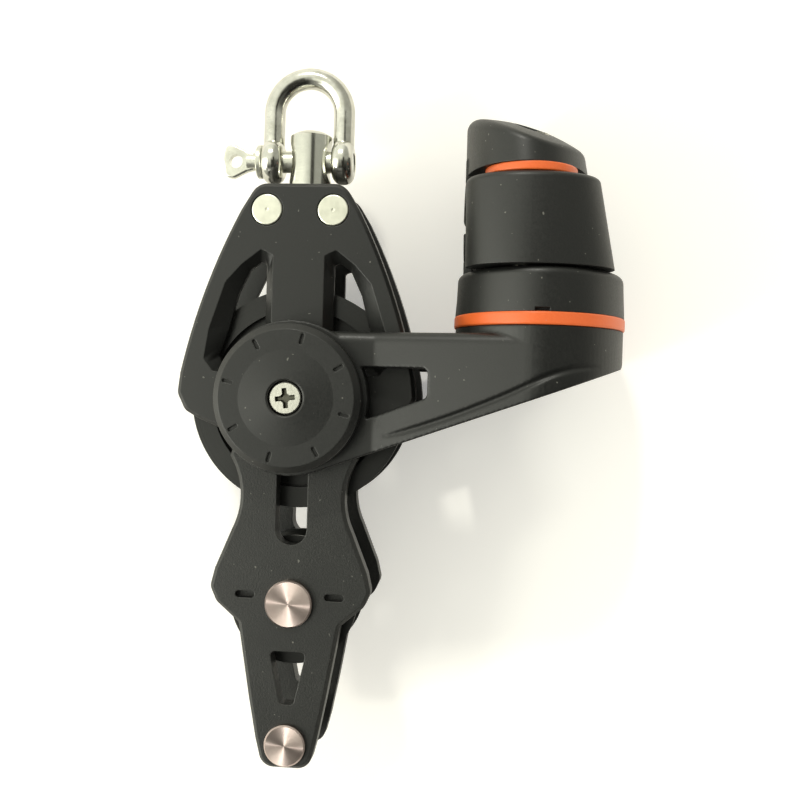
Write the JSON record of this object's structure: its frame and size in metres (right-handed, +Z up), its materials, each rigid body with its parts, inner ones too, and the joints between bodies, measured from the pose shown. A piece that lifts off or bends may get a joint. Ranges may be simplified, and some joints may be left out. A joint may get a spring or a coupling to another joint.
{
  "type": "fiddle block with swivel shackle, becket and cam cleat",
  "caption": "Fiddle block with a swivel shackle head, a large and a small sheave in line, a becket, and a cam cleat on an arm pivoted at the hub.",
  "frame": {"origin": "axle centre of the main sheave, at the middle of the block's thickness", "axes": "+Z up the block to the shackle, +X out to the cam cleat, Y along the axle with the front at -Y"},
  "size_m": [0.1206, 0.06, 0.1926],
  "materials": {
    "black_nylon": "satin glass-filled nylon",
    "grained_black_nylon": "fine sandy grain",
    "black_acetal": "smooth turned",
    "white_acetal": "smooth",
    "orange_plastic": "smooth satin",
    "polished_stainless": "polished stainless steel",
    "satin_stainless": "turned stainless steel"
  },
  "bodies": {
    "shackle": {"shackle_bow": "polished_stainless"},
    "shackle_pin": {"shackle_pin": "polished_stainless"},
    "swivel": {"swivel_post": "polished_stainless", "swivel_nut": "satin_stainless"},
    "block": {"head_cheek_front": "black_nylon", "head_cheek_rear": "black_nylon", "fiddle_plate_front": "grained_black_nylon", "fiddle_plate_rear": "grained_black_nylon", "swivel_socket": "black_nylon", "swivel_thrust_washer": "white_acetal", "head_rivets": "satin_stainless", "main_axle": "satin_stainless", "main_race": "satin_stainless", "lobe_bush": "satin_stainless", "lobe_pin": "satin_stainless", "becket_bush": "satin_stainless", "becket_pin": "satin_stainless", "hub_cap_front": "black_nylon", "hub_cap_rear": "black_nylon", "hub_screw_front": "satin_stainless", "hub_screw_rear": "satin_stainless"},
    "main_rollers": {"main_rollers": "white_acetal"},
    "main_sheave": {"main_sheave": "black_acetal"},
    "small_sheave": {"small_sheave": "black_acetal"},
    "cleat": {"cleat_arm": "black_nylon", "cleat_base_ring": "orange_plastic", "cleat_base": "black_nylon", "cam_bushes": "satin_stainless", "cam_springs": "satin_stainless", "cam_top_discs": "orange_plastic", "cleat_cap": "black_nylon", "cleat_screws": "satin_stainless", "cleat_nuts": "satin_stainless"},
    "cam_front": {"cam_front": "black_nylon"},
    "cam_rear": {"cam_rear": "black_nylon"}
  },
  "joints": [
    {"name": "shackle_pin_slide", "type": "slide", "parent": "shackle", "child": "shackle_pin", "axis": [-1, 0, 0], "range_m": [0, 0.028]},
    {"name": "bow_tilt", "type": "hinge", "parent": "shackle", "child": "swivel", "pos_m": [0, 0, 0.0664], "axis": [1, 0, 0], "range_deg": [-95, 95]},
    {"name": "block_swivel", "type": "hinge", "parent": "swivel", "child": "block", "pos_m": [0, 0, 0.05], "axis": [0, 0, 1], "continuous": true},
    {"name": "main_sheave_spin", "type": "hinge", "parent": "block", "child": "main_sheave", "pos_m": [0, 0, 0], "axis": [0, 1, 0], "continuous": true},
    {"name": "roller_ring_spin", "type": "hinge", "parent": "block", "child": "main_rollers", "pos_m": [0, 0, 0], "axis": [0, 1, 0], "continuous": true},
    {"name": "small_sheave_spin", "type": "hinge", "parent": "block", "child": "small_sheave", "pos_m": [0, 0, -0.0553], "axis": [0, 1, 0], "continuous": true},
    {"name": "arm_swing", "type": "hinge", "parent": "block", "child": "cleat", "pos_m": [0, 0, 0], "axis": [0, 1, 0], "range_deg": [-10, 45]},
    {"name": "cam_front_open", "type": "hinge", "parent": "cleat", "child": "cam_front", "pos_m": [0.0614, -0.015, 0.047], "axis": [0, 0, -1], "range_deg": [0, 38], "stiffness_Nm_per_rad": 0.05, "springref_deg": -20.05},
    {"name": "cam_rear_open", "type": "hinge", "parent": "cleat", "child": "cam_rear", "pos_m": [0.0614, 0.015, 0.047], "axis": [0, 0, 1], "range_deg": [0, 38], "stiffness_Nm_per_rad": 0.05, "springref_deg": -20.05}
  ],
  "couplings": [
    {"joint": "roller_ring_spin", "follows": "main_sheave_spin", "ratio": 0.5851}
  ]
}
